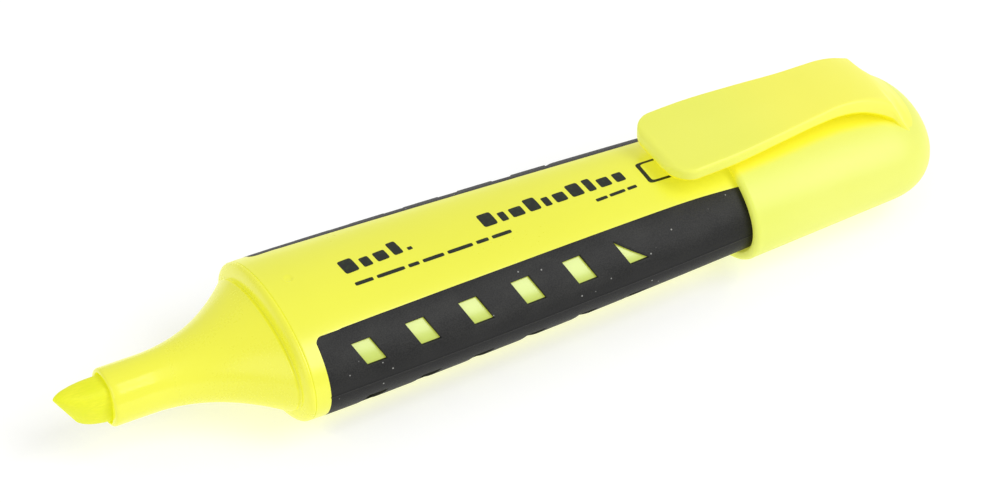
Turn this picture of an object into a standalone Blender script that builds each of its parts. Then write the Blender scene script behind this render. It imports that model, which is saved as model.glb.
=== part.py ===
"""Capped highlighter pen, uncapped, with its cap posted on the rear of the barrel.

Frame: +X runs from the nib to the closed end of the cap, +Z is up and the clip is on top.
The origin is under the middle of the pen's length, on the surface that the pen lies on.
Stations are distances along the pen from the front face of the nozzle.
"""
import math

import bmesh
import bpy
from mathutils import Vector

# Driving dimensions, in metres.
BARREL_HALF_WIDTH = 0.0120      # at the front of the grips
BARREL_HALF_HEIGHT = 0.00758
BARREL_TAPER_WIDTH = 0.0115     # half-width lost per metre of length
BARREL_WAISTING = 0.483         # half-width lost per squared metre of length
BARREL_TAPER_HEIGHT = 0.0287    # half-height lost per metre behind the level collar
BARREL_LEVEL_END = 0.0250
BARREL_FRONT = 0.0206
BARREL_REAR = 0.0913
FLAT = 0.985                    # the underside is flattened at this part of the half-height

GAP = 0.0003                    # between neighbours that touch on the real pen
WALL_SIDE = 0.0029
WALL_TOP = 0.0013

GRIP_FRONT = 0.02213
GRIP_REAR = 0.0850
GRIP_DEPTH = 0.0012             # of the pocket that the rubber fills
GRIP_CORNER = 0.0026
PANEL_WAIST = 0.00569           # half-width of the bare top panel at its narrowest
PANEL_WAIST_STATION = 0.0616
PANEL_FLARE = 0.07              # half-width gained per metre from the waist
PANEL_BEND = 0.0060             # length over which the panel's edge turns at the waist

WINDOW_FIRST = 0.02609
WINDOW_PITCH = 0.00689
WINDOW_LENGTH = 0.00239
WINDOW_COUNT = 5
WINDOW_TOP = 0.00447            # height of the window row's edges above the pen's axis
WINDOW_BOTTOM = 0.00226
WINDOW_SLANT = 0.00121          # rearward shift of a window's bottom edge
TRIANGLE_LENGTH = 0.0036

NOZZLE_RADIUS = 0.00345
NOZZLE_LENGTH = 0.0068
CONE_BACK = 0.0194
CONE_HALF = (0.0109, 0.00605)   # across and up, where the cone meets the rim
CONE_POWER = 1.7                # of the curve along which the cone flares
RIM_BACK = 0.0203
SKIRT_BACK = 0.0265
BORE_HALF = (0.00235, 0.00285)  # of the bore that holds the nib
BORE_POWER = 3.2

NIB_HALF = (0.0021, 0.0026)
NIB_EDGE = -0.00472             # station of the middle of the writing edge
NIB_SLOPE = -0.618              # station lost per metre of height along the writing edge
NIB_BEVEL = 0.0044
NIB_SHOULDER = 0.0090
NIB_TAIL_RADIUS = 0.0013
NIB_TAIL_BACK = 0.0230

RESERVOIR_RADIUS = 0.0034
RESERVOIR_FRONT = 0.0172
RESERVOIR_BACK = 0.0870
POCKET_RADIUS = 0.0017
POCKET_BACK = 0.0250
FILM_INNER = 0.0037
FILM_OUTER = 0.00395
CHAMBER_RADIUS = 0.0043

CAP_MOUTH = 0.0780
CAP_END = 0.1062
CAP_HALF = (0.0112, 0.0075)     # at the mouth
CAP_TAPER = (0.050, 0.045)      # half-width and half-height lost per metre of length
CAP_BORE_HALF = (0.0101, 0.00632)
CAP_DOME = 0.0080               # length of the rounded closed end
CAP_DOME_POWER = 2.6
CAP_END_WALL = 0.0011
LIP = 0.0006

SLEEVE_FRONT = 0.0923
SLEEVE_BACK = 0.1040
SLEEVE_OUTER = 0.0046
SLEEVE_INNER = 0.0036

CLIP_TIP = 0.0702
CLIP_ROOT = 0.0945
CLIP_POWER = 3.6

NIB_TIP = NIB_EDGE + NIB_SLOPE * NIB_HALF[1] * 0.80
MIDDLE = (NIB_TIP + CAP_END) / 2
AXIS_HEIGHT = FLAT * BARREL_HALF_HEIGHT
SIDES = 48                      # points round a plain section


def material(name, color, roughness):
    """A plain Principled material."""
    mat = bpy.data.materials.new(name)
    mat.use_nodes = True
    shader = mat.node_tree.nodes["Principled BSDF"]
    shader.inputs["Base Color"].default_value = (*color, 1)
    shader.inputs["Roughness"].default_value = roughness
    shader.inputs["Metallic"].default_value = 0
    return mat


def place(station, y, z):
    """A point of the pen's frame, from a station and its place round the pen's axis."""
    return Vector((station - MIDDLE, y, AXIS_HEIGHT + z))


def signed_power(value, power):
    return math.copysign(abs(value) ** power, value)


def oval(half_width, half_height, power, angle):
    """The point of a superellipse at a parameter angle, which starts at +Y."""
    y = half_width * signed_power(math.cos(angle), 2 / power)
    z = half_height * signed_power(math.sin(angle), 2 / power)
    return y, max(z, -FLAT * half_height)


def ring(station, half_width, half_height, power=2.0, angles=None, slope=0.0, lift=0.0):
    """One closed section, which may lean along the pen by slope."""
    if angles is None:
        angles = [math.tau * (i + 0.5) / SIDES for i in range(SIDES)]
    points = []
    for angle in angles:
        y, z = oval(half_width, half_height, power, angle)
        points.append(place(station + slope * z, y, z + lift))
    return points


def new_object(name, bm, mat, sharp=35):
    """Turns a bmesh into an object with outward faces and smooth shading."""
    bmesh.ops.recalc_face_normals(bm, faces=bm.faces)
    mesh = bpy.data.meshes.new(name)
    bm.to_mesh(mesh)
    bm.free()
    mesh.shade_smooth()
    mesh.set_sharp_from_angle(angle=math.radians(sharp))
    mesh.materials.append(mat)
    obj = bpy.data.objects.new(name, mesh)
    bpy.context.scene.collection.objects.link(obj)
    return obj


def loft(name, rings, mat, looped=False):
    """Skins a row of rings into one closed body, with end caps or as a closed loop."""
    bm = bmesh.new()
    rows = [[bm.verts.new(point) for point in points] for points in rings]
    count = len(rows[0])
    pairs = list(zip(rows, rows[1:]))
    if looped:
        pairs.append((rows[-1], rows[0]))
    for first, second in pairs:
        for i in range(count):
            j = (i + 1) % count
            bm.faces.new((first[i], first[j], second[j], second[i]))
    if not looped:
        bm.faces.new(rows[0])
        bm.faces.new(rows[-1])
    return new_object(name, bm, mat)


def boolean(obj, tool, operation):
    """Adds an exact Boolean with a tool object that stays hidden."""
    tool.hide_render = True
    tool.display_type = "WIRE"
    modifier = obj.modifiers.new(operation.lower(), "BOOLEAN")
    modifier.operation = operation
    modifier.solver = "EXACT"
    modifier.object = tool


def move_origin(obj, point):
    """Puts an object's origin on a joint's axis without moving its shape."""
    for vertex in obj.data.vertices:
        vertex.co -= point
    obj.location = point


def rounding(distance, length, power=2.0):
    """How full a rounded end is, at a distance from the end's tip."""
    t = max(0.0, 1 - distance / length)
    return (1 - t ** power) ** (1 / power)


# Barrel and grips ---------------------------------------------------------------------

def barrel_half(station):
    """Half-width and half-height of the barrel's outer surface."""
    back = max(0.0, station - GRIP_FRONT)
    width = BARREL_HALF_WIDTH - BARREL_TAPER_WIDTH * back - BARREL_WAISTING * back ** 2
    height = BARREL_HALF_HEIGHT - BARREL_TAPER_HEIGHT * max(0.0, station - BARREL_LEVEL_END)
    return width, height


def grip_angle(station, margin=0.0):
    """Parameter angle of the grip's upper edge; margin widens the outline, in metres."""
    width, height = barrel_half(station)
    away = math.hypot(station - PANEL_WAIST_STATION, PANEL_BEND) - PANEL_BEND
    panel = PANEL_WAIST + PANEL_FLARE * away
    angle = math.acos(panel / width)
    corner = max(0.0, GRIP_CORNER - (station - GRIP_FRONT + margin))
    inset = GRIP_CORNER - math.sqrt(GRIP_CORNER ** 2 - corner ** 2)
    return angle + (margin - inset) / height


def barrel_ring(station, depth):
    """Outer section of the barrel, with the two grip pockets cut in by depth."""
    width, height = barrel_half(station)
    start = max(station, GRIP_FRONT)
    edge = grip_angle(start, GAP)
    step = 0.00015 / height
    points = []
    for middle, half, count, low in (
        (0, edge - step, 13, True),
        (math.pi / 2, math.pi / 2 - edge, 11, False),
        (math.pi, edge - step, 13, True),
        (math.pi * 1.5, math.pi / 2 - edge, 11, False),
    ):
        sink = depth if low else 0.0
        for i in range(count):
            angle = middle + half * (2 * i / (count - 1) - 1)
            y, z = oval(width - sink, height - sink, 2.0, angle)
            points.append(place(station, y, z))
    return points


def make_barrel(mat):
    """Flattened-oval tube, closed at the rear, with a pocket on each side for the rubber."""
    stations = [GRIP_REAR - 0.01 * i for i in range(1, 6)]
    rings = []
    for distance in (0.0002, 0.0008, 0.0020):
        width, height = barrel_half(BARREL_REAR - distance)
        full = 0.80 + 0.20 * rounding(distance, 0.0020)
        rings.append(ring(BARREL_REAR - distance, width * full, height * full))
    rings.append(barrel_ring(GRIP_REAR + GAP + 0.0001, 0.0))
    rings.append(barrel_ring(GRIP_REAR + GAP, GRIP_DEPTH))
    rings += [barrel_ring(station, GRIP_DEPTH) for station in stations]
    rings.append(barrel_ring(GRIP_FRONT + GRIP_CORNER, GRIP_DEPTH))
    rings.append(barrel_ring(GRIP_FRONT + 0.0008, GRIP_DEPTH))
    rings.append(barrel_ring(GRIP_FRONT - GAP + 0.0001, GRIP_DEPTH))
    rings.append(barrel_ring(GRIP_FRONT - GAP, 0.0))
    rings.append(barrel_ring(BARREL_FRONT, 0.0))
    for station in (BARREL_FRONT, 0.0400, 0.0600, BARREL_REAR - 0.0016):
        width, height = barrel_half(station)
        rings.append(ring(station, width - WALL_SIDE, height - WALL_TOP))
    return loft("barrel", rings, mat)


def grip_shell(name, side, mat):
    """Rubber shell of one side; side is +1 or -1 for the side along Y."""
    count = 15
    thickness = GRIP_DEPTH - GAP
    stations = [GRIP_FRONT, GRIP_FRONT + 0.0004, GRIP_FRONT + 0.0012, GRIP_FRONT + GRIP_CORNER]
    stations += [0.0300 + 0.0080 * i for i in range(7)] + [GRIP_REAR]
    rings = []
    for station in stations:
        width, height = barrel_half(station)
        edge = grip_angle(station)
        section = []
        for sink, order in ((0.0, range(count)), (thickness, reversed(range(count)))):
            for i in order:
                angle = edge * (2 * i / (count - 1) - 1)
                y, z = oval(width - sink, height - sink, 2.0, angle)
                section.append(place(station, side * y, z))
        rings.append(section)
    return loft(name, rings, mat)


def window_cutter(side):
    """The slots of both window rows of one side, as separate slanted prisms."""
    bm = bmesh.new()
    for half in (1, -1):
        for i in range(WINDOW_COUNT + 1):
            front = WINDOW_FIRST + i * WINDOW_PITCH
            if i < WINDOW_COUNT:
                corners = [(front, WINDOW_TOP), (front + WINDOW_LENGTH, WINDOW_TOP),
                           (front + WINDOW_LENGTH + WINDOW_SLANT, WINDOW_BOTTOM),
                           (front + WINDOW_SLANT, WINDOW_BOTTOM)]
            else:
                corners = [(front, WINDOW_TOP), (front + TRIANGLE_LENGTH, WINDOW_BOTTOM),
                           (front + WINDOW_SLANT, WINDOW_BOTTOM)]
            layers = []
            for outward in (-0.0017, 0.0010):
                layer = []
                for station, z in corners:
                    width, height = barrel_half(station)
                    angle = math.asin(z / height)
                    y, z = oval(width + outward, height + outward, 2.0, angle)
                    layer.append(bm.verts.new(place(station, side * y, half * z)))
                layers.append(layer)
            bm.faces.new(layers[0])
            bm.faces.new(layers[1])
            for j in range(len(corners)):
                k = (j + 1) % len(corners)
                bm.faces.new((layers[0][j], layers[0][k], layers[1][k], layers[1][j]))
    return new_object("window_cutter_" + ("left" if side < 0 else "right"), bm, plain)


def make_grip(name, side, mat):
    grip = grip_shell(name, side, mat)
    boolean(grip, window_cutter(side), "DIFFERENCE")
    return grip


# Nose, nib and ink --------------------------------------------------------------------

def nose_half(station):
    """Half-width and half-height of the nozzle and the cone that flares from it."""
    flare = max(0.0, (station - NOZZLE_LENGTH) / (CONE_BACK - NOZZLE_LENGTH)) ** CONE_POWER
    return [NOZZLE_RADIUS + (half - NOZZLE_RADIUS) * flare for half in CONE_HALF]


def make_nose(mat):
    """Nozzle, trumpet cone, rounded rim and the skirt that plugs into the barrel."""
    rings = [ring(0.0, NOZZLE_RADIUS - 0.0002, NOZZLE_RADIUS - 0.0002),
             ring(0.0003, NOZZLE_RADIUS, NOZZLE_RADIUS)]
    steps = 8
    for i in range(steps + 1):
        station = NOZZLE_LENGTH + (CONE_BACK - NOZZLE_LENGTH) * i / steps
        rings.append(ring(station, *nose_half(station)))
    rim = RIM_BACK - CONE_BACK
    for turn in (20, 40, 65, 90):
        out, along = math.sin(math.radians(turn)), 1 - math.cos(math.radians(turn))
        width = CONE_HALF[0] + (BARREL_HALF_WIDTH - CONE_HALF[0]) * out
        height = CONE_HALF[1] + (BARREL_HALF_HEIGHT - CONE_HALF[1]) * out
        rings.append(ring(CONE_BACK + rim * along, width, height))
    skirt = (BARREL_HALF_WIDTH - WALL_SIDE - GAP, BARREL_HALF_HEIGHT - WALL_TOP - GAP)
    rings.append(ring(RIM_BACK, *skirt))
    rings.append(ring(SKIRT_BACK, skirt[0] - 0.0003, skirt[1] - 0.0003))
    rings.append(ring(SKIRT_BACK, skirt[0] - 0.0011, skirt[1] - 0.0011))
    for station, radius in ((0.0205, CHAMBER_RADIUS), (0.0164, CHAMBER_RADIUS),
                            (0.0140, 0.0036), (0.0112, 0.0031)):
        rings.append(ring(station, radius, radius))
    rings.append(ring(NIB_SHOULDER + 0.0008, *BORE_HALF, BORE_POWER))
    rings.append(ring(0.0, *BORE_HALF, BORE_POWER))
    return loft("nose_section", rings, mat, looped=True)


def make_nib(mat):
    """Fibre chisel nib with a slanted writing edge and a round tail that draws ink."""
    rings = [
        ring(NIB_EDGE, 0.0003, NIB_HALF[1] * 0.80, BORE_POWER, slope=NIB_SLOPE),
        ring(NIB_EDGE + 0.0005, 0.0006, NIB_HALF[1] * 0.92, BORE_POWER, slope=NIB_SLOPE),
        ring(NIB_EDGE + 0.0018, 0.0012, NIB_HALF[1] * 0.99, BORE_POWER, slope=NIB_SLOPE),
        ring(NIB_EDGE + NIB_BEVEL, NIB_HALF[0], NIB_HALF[1], BORE_POWER, slope=NIB_SLOPE),
        ring(NIB_SHOULDER, NIB_HALF[0], NIB_HALF[1], BORE_POWER),
        ring(NIB_SHOULDER + 0.0010, NIB_TAIL_RADIUS, NIB_TAIL_RADIUS),
        ring(NIB_TAIL_BACK, NIB_TAIL_RADIUS, NIB_TAIL_RADIUS),
    ]
    return loft("nib", rings, mat)


def make_reservoir(mat):
    """Fibre rod with a blind pocket for the nib's tail."""
    rings = [
        ring(RESERVOIR_BACK, RESERVOIR_RADIUS, RESERVOIR_RADIUS),
        ring(RESERVOIR_FRONT, RESERVOIR_RADIUS, RESERVOIR_RADIUS),
        ring(RESERVOIR_FRONT, POCKET_RADIUS, POCKET_RADIUS),
        ring(POCKET_BACK, POCKET_RADIUS, POCKET_RADIUS),
    ]
    return loft("ink_reservoir", rings, mat)


def make_film(mat):
    """Plastic film wrapped round the reservoir, open at both ends."""
    rings = [
        ring(RESERVOIR_FRONT, FILM_OUTER, FILM_OUTER),
        ring(RESERVOIR_BACK, FILM_OUTER, FILM_OUTER),
        ring(RESERVOIR_BACK, FILM_INNER, FILM_INNER),
        ring(RESERVOIR_FRONT, FILM_INNER, FILM_INNER),
    ]
    return loft("reservoir_film", rings, mat, looped=True)


# Cap ----------------------------------------------------------------------------------

def cap_half(mouth, station):
    """Half-sizes of the tapering cap at a station, from those at its mouth."""
    return [half - taper * (station - CAP_MOUTH) for half, taper in zip(mouth, CAP_TAPER)]


def make_cap_shell(mat):
    """Oval cap with a rounded lip, a domed closed end and the root that carries the clip."""
    rings = []
    for distance in (0.00004, 0.0003, 0.0009, 0.0020, 0.0036, 0.0058, CAP_DOME):
        full = rounding(distance, CAP_DOME, CAP_DOME_POWER)
        station = CAP_END - distance
        rings.append(ring(station, *(half * full for half in cap_half(CAP_HALF, station))))
    rings += [
        ring(CAP_MOUTH + LIP, *CAP_HALF),
        ring(CAP_MOUTH + 0.00015, CAP_HALF[0] - 0.00025, CAP_HALF[1] - 0.00025),
        ring(CAP_MOUTH, CAP_BORE_HALF[0] + 0.0002, CAP_BORE_HALF[1] + 0.0002),
        ring(CAP_MOUTH + 0.0003, *CAP_BORE_HALF),
    ]
    inner_end = CAP_END - CAP_END_WALL
    for distance in (CAP_DOME, 0.0052, 0.0030, 0.0015, 0.0005, 0.00004):
        full = rounding(distance, CAP_DOME, CAP_DOME_POWER)
        station = inner_end - distance
        rings.append(ring(station, *(half * full for half in cap_half(CAP_BORE_HALF, station))))
    shell = loft("cap_shell", rings, mat)
    root = [
        (CLIP_ROOT + GAP, 0.00465, 0.0085, 0.00995), (0.0957, 0.0048, 0.0062, 0.00995),
        (0.0980, 0.0048, 0.0056, 0.0093), (0.1000, 0.0045, 0.0050, 0.0083),
        (0.1018, 0.0038, 0.0042, 0.0068), (0.1030, 0.0028, 0.0034, 0.0052),
    ]
    boolean(shell, loft("clip_root", clip_rings(root), mat), "UNION")
    return shell


def clip_rings(rows):
    """Rounded-rectangle sections from (station, half-width, underside, top) rows."""
    rings = []
    for station, width, low, high in rows:
        rings.append(ring(station, width, (high - low) / 2, CLIP_POWER, lift=(high + low) / 2))
    return rings


def make_clip(mat):
    """Broad clip blade; it is moulded with the cap and bends at its root."""
    rows = [
        (CLIP_TIP, 0.0040, 0.0078, 0.0086), (CLIP_TIP + 0.0004, 0.0050, 0.0075, 0.0090),
        (CLIP_TIP + 0.0014, 0.0058, 0.0075, 0.0092), (CLIP_TIP + 0.0030, 0.0061, 0.0076, 0.0093),
        (0.0780, 0.0061, 0.0079, 0.0095), (0.0840, 0.0057, 0.0082, 0.0098),
        (0.0900, 0.0051, 0.0085, 0.0100), (CLIP_ROOT, 0.00465, 0.0085, 0.00995),
    ]
    clip = loft("cap_clip", clip_rings(rows), mat)
    move_origin(clip, place(CLIP_ROOT, 0, 0.0092))
    return clip


def make_sleeve(mat):
    """Round sealing sleeve, closed at its rear, that fits over the nozzle when capped."""
    rings = [
        ring(SLEEVE_BACK, 0.0027, 0.0027),
        ring(SLEEVE_BACK - 0.0030, SLEEVE_OUTER, SLEEVE_OUTER),
        ring(SLEEVE_FRONT, SLEEVE_OUTER, SLEEVE_OUTER),
        ring(SLEEVE_FRONT, SLEEVE_INNER + 0.0003, SLEEVE_INNER + 0.0003),
        ring(SLEEVE_FRONT + 0.0008, SLEEVE_INNER, SLEEVE_INNER),
        ring(SLEEVE_BACK - 0.0033, SLEEVE_INNER, SLEEVE_INNER),
        ring(SLEEVE_BACK - 0.0007, 0.0021, 0.0021),
    ]
    return loft("inner_cap", rings, mat)


for leftover in list(bpy.data.objects):
    bpy.data.objects.remove(leftover, do_unlink=True)

plain = material("plain", (0.5, 0.5, 0.5), 0.5)
yellow = material("yellow_barrel", (0.90, 0.90, 0.10), 0.35)
pale_yellow = material("yellow_cap", (0.91, 0.93, 0.19), 0.35)
rubber = material("black_grip", (0.030, 0.030, 0.030), 0.75)
felt = material("nib_felt", (0.88, 0.90, 0.05), 0.9)
fibre = material("reservoir_fibre", (0.80, 0.85, 0.08), 0.95)
film = material("film", (0.85, 0.88, 0.30), 0.2)
seal = material("seal", (0.90, 0.92, 0.30), 0.45)

make_barrel(yellow)
make_grip("left_grip", -1, rubber)
make_grip("right_grip", 1, rubber)
make_nose(yellow)
make_nib(felt)
make_reservoir(fibre)
make_film(film)
make_cap_shell(pale_yellow)
make_clip(pale_yellow)
make_sleeve(seal)
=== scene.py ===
"""Looks of a capped highlighter pen with its cap posted on the rear of the barrel.

Stations are distances behind the front face of the nozzle, across is Y and up is Z from the pen's axis.
"""
import math

import bpy
import numpy as np
from mathutils import Matrix, Vector


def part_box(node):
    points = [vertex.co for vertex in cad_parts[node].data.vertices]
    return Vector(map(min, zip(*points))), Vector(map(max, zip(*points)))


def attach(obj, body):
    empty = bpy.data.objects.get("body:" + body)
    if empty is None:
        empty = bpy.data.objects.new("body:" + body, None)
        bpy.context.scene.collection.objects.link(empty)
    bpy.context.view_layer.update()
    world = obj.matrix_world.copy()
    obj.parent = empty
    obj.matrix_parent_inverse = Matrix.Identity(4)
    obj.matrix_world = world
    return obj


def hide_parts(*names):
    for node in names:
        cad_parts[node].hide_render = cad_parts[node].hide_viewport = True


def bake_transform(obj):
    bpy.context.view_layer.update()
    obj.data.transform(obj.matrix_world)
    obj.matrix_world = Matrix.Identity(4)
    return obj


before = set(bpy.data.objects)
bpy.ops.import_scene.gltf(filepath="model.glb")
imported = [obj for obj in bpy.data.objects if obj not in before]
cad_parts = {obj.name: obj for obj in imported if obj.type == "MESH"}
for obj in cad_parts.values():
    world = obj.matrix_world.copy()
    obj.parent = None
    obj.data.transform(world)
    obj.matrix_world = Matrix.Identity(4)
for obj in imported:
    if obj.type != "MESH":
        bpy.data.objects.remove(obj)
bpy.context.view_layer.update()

# Table, lights and camera ----------------------------------------------------------------
# The pen lies on a matt white table, in an even white surround, under two rectangular softboxes.
# The key one stands high on the near side, so that it mirrors as a short bar in the nozzle.

MM = 0.001
UNDERSIDE = 0.985               # every section is flattened underneath at this part of its height
nozzle_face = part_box("nose_section")[0].x
barrel_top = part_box("barrel")[1].z
barrel_half_height = barrel_top / (1 + UNDERSIDE)
axis_height = barrel_top - barrel_half_height


def place(station, across, up):
    """Points of the frame: x is the nozzle's face plus the station, y is across, z is up from the axis."""
    station, across, up = np.broadcast_arrays(station, across, up)
    return np.stack([nozzle_face + station, across, axis_height + up], axis=-1)


def add_mesh(name, points, faces, sharp=35):
    """Mesh object of the points and faces, shaded smooth except across edges sharper than an angle."""
    mesh = bpy.data.meshes.new(name)
    mesh.from_pydata(points.reshape(-1, 3).tolist(), [], faces)
    mesh.shade_smooth()
    mesh.set_sharp_from_angle(angle=math.radians(sharp))
    made = bpy.data.objects.new(name, mesh)
    bpy.context.scene.collection.objects.link(made)
    return made


class Wire:
    """A shader socket in an expression: each operator adds one Math node to the material's tree."""

    def __init__(self, tree, socket):
        self.tree = tree
        self.socket = socket

    def node(self, kind, settings=None, inputs=None, output=0):
        """Adds a node of any kind: first its settings, then its inputs as numbers or wires."""
        made = self.tree.nodes.new(kind)
        for key, setting in (settings or {}).items():
            setattr(made, key, setting)
        for key, value in (inputs or {}).items():
            if isinstance(value, Wire):
                self.tree.links.new(value.socket, made.inputs[key])
            else:
                made.inputs[key].default_value = value
        return Wire(self.tree, made.outputs[output])

    def maths(self, operation, first, second):
        """Math node on two numbers or wires."""
        return self.node("ShaderNodeMath", {"operation": operation}, {0: first, 1: second})

    def __add__(self, other):
        return self.maths("ADD", self, other)

    def __radd__(self, other):
        return self.maths("ADD", other, self)

    def __sub__(self, other):
        return self.maths("SUBTRACT", self, other)

    def __rsub__(self, other):
        return self.maths("SUBTRACT", other, self)

    def __mul__(self, other):
        return self.maths("MULTIPLY", self, other)

    def __rmul__(self, other):
        return self.maths("MULTIPLY", other, self)

    def ramp(self, low, high):
        """0 below low and 1 above high, with a smooth step between."""
        return self.node("ShaderNodeMapRange", {"interpolation_type": "SMOOTHSTEP"},
                         {"Value": self, "From Min": low, "From Max": high})

    def noise(self, scale, detail=2.0, stretch=(1, 1, 1)):
        """Noise of about 0 to 1 over this coordinate; scale is in cells per metre."""
        coordinate = self.node("ShaderNodeMapping", None, {"Vector": self, "Scale": stretch})
        return coordinate.node("ShaderNodeTexNoise", None,
                               {"Vector": coordinate, "Scale": scale, "Detail": detail})

    def mix(self, first, second):
        """Color between two colors, with this wire as the factor: a Mix node keeps its two colors in
        sockets 6 and 7, and gives the mixed color as output 2."""
        first, second = (color if isinstance(color, Wire) else (*color, 1) for color in (first, second))
        return self.node("ShaderNodeMix", {"data_type": "RGBA"}, {"Factor": self, 6: first, 7: second}, 2)


def start_material(name):
    """New material, its shader node, and the wire of the Object coordinate."""
    material = bpy.data.materials.new(name)
    material.use_nodes = True
    tree = material.node_tree
    shader = tree.nodes["Principled BSDF"]
    return material, shader, Wire(tree, None).node("ShaderNodeTexCoord", output="Object")


def connect(shader, socket, wire):
    """Leads a wire to the shader's socket of that name."""
    wire.tree.links.new(wire.socket, shader.inputs[socket])


def bump(wire, strength, distance):
    """Normal from a height wire."""
    return wire.node("ShaderNodeBump", None, {"Strength": strength, "Distance": distance, "Height": wire})


def table_grid(half=1.6, count=40):
    """Flat square table: x and y run over the square and z is 0."""
    line = np.linspace(-half, half, count)
    return np.stack(np.broadcast_arrays(line[:, None], line[None, :], 0.0), axis=-1)


def grid_faces(rows, columns):
    """Quads of an open grid."""
    i = np.arange(rows - 1)[:, None]
    j = np.arange(columns - 1)[None, :]
    first = i * columns + j
    return np.stack([first, first + columns, first + columns + 1, first + 1], -1).reshape(-1, 4)


def white_paper():
    """Matt white sheet with a trace of fibre mottling."""
    material, shader, place_in = start_material("white_table")
    mottle = place_in.noise(900, 3)
    connect(shader, "Base Color", mottle.mix((0.60, 0.60, 0.60), (0.62, 0.62, 0.62)))
    shader.inputs["Roughness"].default_value = 0.9
    shader.inputs["Specular IOR Level"].default_value = 0.1
    shader.inputs["Emission Color"].default_value = (1, 1, 1, 1)
    shader.inputs["Emission Strength"].default_value = 0.48
    return material


table_points = table_grid()
table = add_mesh("table", table_points, grid_faces(*table_points.shape[:2]).tolist())
table.data.materials.append(white_paper())

surround = bpy.data.worlds.new("surround")
surround.use_nodes = True
surround.node_tree.nodes["Background"].inputs["Color"].default_value = (1.0, 1.0, 1.0, 1)
surround.node_tree.nodes["Background"].inputs["Strength"].default_value = 0.60
bpy.context.scene.world = surround
bpy.context.scene.view_settings.view_transform = "Standard"


def softbox(name, direction, distance, size, power):
    """Rectangular light at a distance in a direction from the pen, facing it, its width along the pen."""
    data = bpy.data.lights.new(name, "AREA")
    data.shape = "RECTANGLE"
    data.size, data.size_y = size
    data.energy = power
    light = bpy.data.objects.new(name, data)
    toward = Vector(direction).normalized()
    aside = (Vector((1, 0, 0)) - toward * toward.x).normalized()
    light.matrix_world = (Matrix.Translation(toward * distance)
                          @ Matrix((aside, toward.cross(aside), toward)).transposed().to_4x4())
    bpy.context.scene.collection.objects.link(light)


softbox("key_softbox", (0.462, -0.496, 0.735), 0.90, (0.40, 0.60), 3.9)
softbox("fill_softbox", (-0.75, -0.35, 0.56), 1.10, (0.80, 0.80), 1.6)

LENS = 155.63
AZIMUTH, ELEVATION, ROLL = (math.radians(turn) for turn in (-28.704, 39.748, 0.194))
REACH = 0.488546                # from the picture plane through the grip's front end
ASIDE, ABOVE = 0.024609, 0.009557
GRIP_FRONT = 22.13 * MM
back = Vector((math.sin(AZIMUTH) * math.cos(ELEVATION), -math.cos(AZIMUTH) * math.cos(ELEVATION),
               math.sin(ELEVATION)))
level = Vector((math.cos(AZIMUTH), math.sin(AZIMUTH), 0))
upright = back.cross(level)
right = level * math.cos(ROLL) + upright * math.sin(ROLL)
up = upright * math.cos(ROLL) - level * math.sin(ROLL)
camera_data = bpy.data.cameras.new("camera")
camera_data.lens = LENS
camera = bpy.data.objects.new("camera", camera_data)
aim = Vector(place(GRIP_FRONT, 0, 0).tolist())
camera.matrix_world = (Matrix.Translation(aim + right * ASIDE + up * ABOVE + back * REACH)
                       @ Matrix((right, up, back)).transposed().to_4x4())
bpy.context.scene.collection.objects.link(camera)
bpy.context.scene.camera = camera

# Ink reservoir and its film --------------------------------------------------------------
# A crimped polyester bundle soaked with yellow ink, in a clear wrap, pushed into the barrel.
# It stays as the frame has it, because only its two ends could ever be seen.


def ink_fibre():
    """Long wet fibres: noise drawn out along the pen, for color and bump."""
    material, shader, place_in = start_material("ink_fibre")
    strands = place_in.noise(2500, 3, (0.04, 1, 1))
    connect(shader, "Base Color", strands.mix((0.62, 0.68, 0.04), (0.88, 0.90, 0.14)))
    connect(shader, "Normal", bump(strands, 0.5, 0.00015))
    shader.inputs["Roughness"].default_value = 0.85
    return material


def clear_wrap():
    """Thin wrap with faint draw lines along it."""
    material, shader, place_in = start_material("clear_wrap")
    lines = place_in.noise(1200, 2, (0.02, 1, 1))
    connect(shader, "Base Color", lines.mix((0.84, 0.88, 0.34), (0.92, 0.94, 0.52)))
    connect(shader, "Roughness", 0.12 + lines * 0.15)
    return material


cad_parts["ink_reservoir"].data.materials[0] = ink_fibre()
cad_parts["reservoir_film"].data.materials[0] = clear_wrap()

# Barrel ----------------------------------------------------------------------------------
# Flattened oval tube, injection moulded in fluorescent yellow polypropylene, closed at the rear.
# It is sunk under the two rubber grips and keeps a small gate mark on top, near the nose.

BARREL_HALF_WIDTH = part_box("barrel")[1].y
BARREL_FRONT = 20.46 * MM
BARREL_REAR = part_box("barrel")[1].x - nozzle_face
LEVEL_END = 25.0 * MM
GRIP_REAR = 85.0 * MM
GRIP_CORNER = 1.0 * MM
GRIP_BED = 0.35 * MM
PANEL_WAIST = 5.97 * MM         # half-width of the bare top panel at its narrowest
PANEL_WAIST_STATION = 72.5 * MM
PANEL_BEND = 3.5 * MM
PANEL_FLARE = 0.0395
GATE = (23.4 * MM, 0.56 * MM)   # station and distance across of the gate mark
GATE_DISH = 0.13 * MM
GATE_RIM = 0.03 * MM
WALL = (2.9 * MM, 1.3 * MM)     # at the sides, and on top and below
MOUTH_ROUND = 0.12 * MM
REAR_ROUND = 1.6 * MM


def barrel_half(station):
    """Half-width falls with a slope and a square behind the grip's front; half-height by a slope."""
    behind = np.maximum(0.0, station - GRIP_FRONT)
    width = BARREL_HALF_WIDTH - 0.0115 * behind - 0.483 * behind ** 2
    height = barrel_half_height - 0.0287 * np.maximum(0.0, station - LEVEL_END)
    return width, height


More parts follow.
